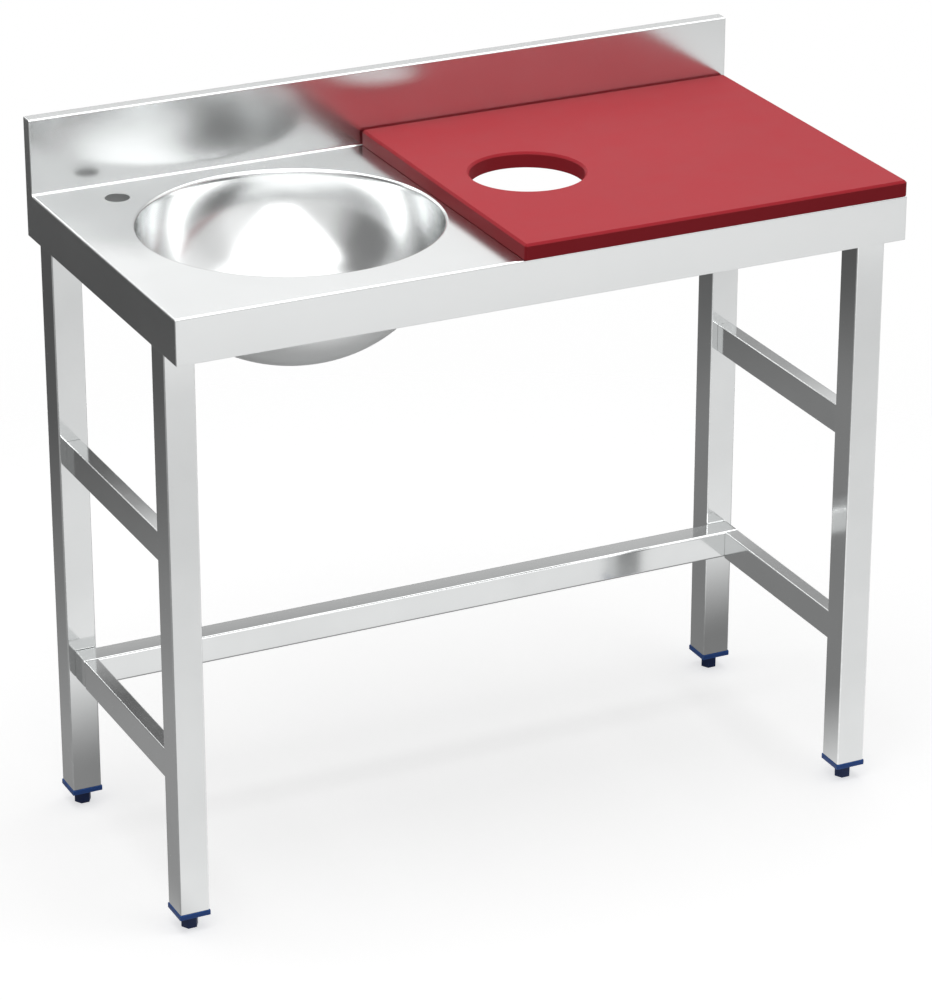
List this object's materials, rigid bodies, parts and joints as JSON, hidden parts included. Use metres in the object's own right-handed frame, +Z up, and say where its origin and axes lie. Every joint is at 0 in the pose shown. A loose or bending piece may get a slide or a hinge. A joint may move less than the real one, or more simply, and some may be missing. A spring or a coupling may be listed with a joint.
{
  "type": "sink table",
  "caption": "Steel sink table: hemmed worktop with upstand and round bowl, lift-off cutting board with a waste chute, square-tube frame on screw feet.",
  "frame": {"origin": "on the floor under the middle of the worktop; the board hangs 3.5 mm over the front, so the middle of the whole box lies 1.75 mm further forward", "axes": "+Z up, +Y to the wall behind, +X to the right along the table; the bowl is at -X"},
  "size_m": [1, 0.5035, 0.95],
  "materials": {
    "worktop_steel": "satin stainless sheet",
    "bowl_steel": "satin spun stainless",
    "tube_steel": "bright satin stainless tube",
    "zinc_steel": "zinc plated",
    "red_board": "fine-grained polyethylene",
    "blue_plastic": "moulded nylon",
    "navy_plastic": "moulded nylon",
    "black_plastic": "moulded nylon",
    "black_rubber": "flat sealing ring"
  },
  "bodies": {
    "frame": {"bolt_front_left_1": "zinc_steel", "bolt_front_left_2": "zinc_steel", "bolt_front_right_1": "zinc_steel", "bolt_front_right_2": "zinc_steel", "bolt_rear_left_1": "zinc_steel", "bolt_rear_left_2": "zinc_steel", "bolt_rear_right_1": "zinc_steel", "bolt_rear_right_2": "zinc_steel", "bowl": "bowl_steel", "bracket_front_left": "tube_steel", "bracket_front_right": "tube_steel", "bracket_rear_left": "tube_steel", "bracket_rear_right": "tube_steel", "foot_insert_front_left": "blue_plastic", "foot_insert_front_right": "blue_plastic", "foot_insert_rear_left": "blue_plastic", "foot_insert_rear_right": "blue_plastic", "leg_front_left": "tube_steel", "leg_front_right": "tube_steel", "leg_rear_left": "tube_steel", "leg_rear_right": "tube_steel", "lower_rail_left": "tube_steel", "lower_rail_right": "tube_steel", "rear_rail": "tube_steel", "rear_rail_end_left": "tube_steel", "rear_rail_end_right": "tube_steel", "underside_channel_left": "worktop_steel", "underside_channel_right": "worktop_steel", "upper_rail_left": "tube_steel", "upper_rail_right": "tube_steel", "upstand_cap_left": "worktop_steel", "upstand_cap_right": "worktop_steel", "waste_flange": "bowl_steel", "waste_gasket": "black_rubber", "waste_ring_nut": "black_plastic", "worktop": "worktop_steel"},
    "board": {"cutting_board": "red_board"},
    "stud_front_left": {"foot_stud_front_left": "zinc_steel"},
    "foot_front_left": {"foot_front_left": "navy_plastic"},
    "stud_front_right": {"foot_stud_front_right": "zinc_steel"},
    "foot_front_right": {"foot_front_right": "navy_plastic"},
    "stud_rear_left": {"foot_stud_rear_left": "zinc_steel"},
    "foot_rear_left": {"foot_rear_left": "navy_plastic"},
    "stud_rear_right": {"foot_stud_rear_right": "zinc_steel"},
    "foot_rear_right": {"foot_rear_right": "navy_plastic"}
  },
  "joints": [
    {"name": "board_lift", "type": "slide", "parent": "frame", "child": "board", "axis": [0, 0, 1], "range_m": [0, 0.15]},
    {"name": "foot_travel_front_left", "type": "slide", "parent": "frame", "child": "stud_front_left", "axis": [0, 0, -1], "range_m": [0, 0.025]},
    {"name": "foot_turn_front_left", "type": "hinge", "parent": "stud_front_left", "child": "foot_front_left", "pos_m": [-0.4777, -0.184, 0], "axis": [0, 0, -1], "continuous": true},
    {"name": "foot_travel_front_right", "type": "slide", "parent": "frame", "child": "stud_front_right", "axis": [0, 0, -1], "range_m": [0, 0.025]},
    {"name": "foot_turn_front_right", "type": "hinge", "parent": "stud_front_right", "child": "foot_front_right", "pos_m": [0.4777, -0.184, 0], "axis": [0, 0, -1], "continuous": true},
    {"name": "foot_travel_rear_left", "type": "slide", "parent": "frame", "child": "stud_rear_left", "axis": [0, 0, -1], "range_m": [0, 0.025]},
    {"name": "foot_turn_rear_left", "type": "hinge", "parent": "stud_rear_left", "child": "foot_rear_left", "pos_m": [-0.4777, 0.193, 0], "axis": [0, 0, -1], "continuous": true},
    {"name": "foot_travel_rear_right", "type": "slide", "parent": "frame", "child": "stud_rear_right", "axis": [0, 0, -1], "range_m": [0, 0.025]},
    {"name": "foot_turn_rear_right", "type": "hinge", "parent": "stud_rear_right", "child": "foot_rear_right", "pos_m": [0.4777, 0.193, 0], "axis": [0, 0, -1], "continuous": true}
  ],
  "couplings": [
    {"joint": "foot_turn_front_left", "follows": "foot_travel_front_left", "rad_per_m": 4188.8},
    {"joint": "foot_turn_front_right", "follows": "foot_travel_front_right", "rad_per_m": 4188.8},
    {"joint": "foot_turn_rear_left", "follows": "foot_travel_rear_left", "rad_per_m": 4188.8},
    {"joint": "foot_turn_rear_right", "follows": "foot_travel_rear_right", "rad_per_m": 4188.8}
  ]
}
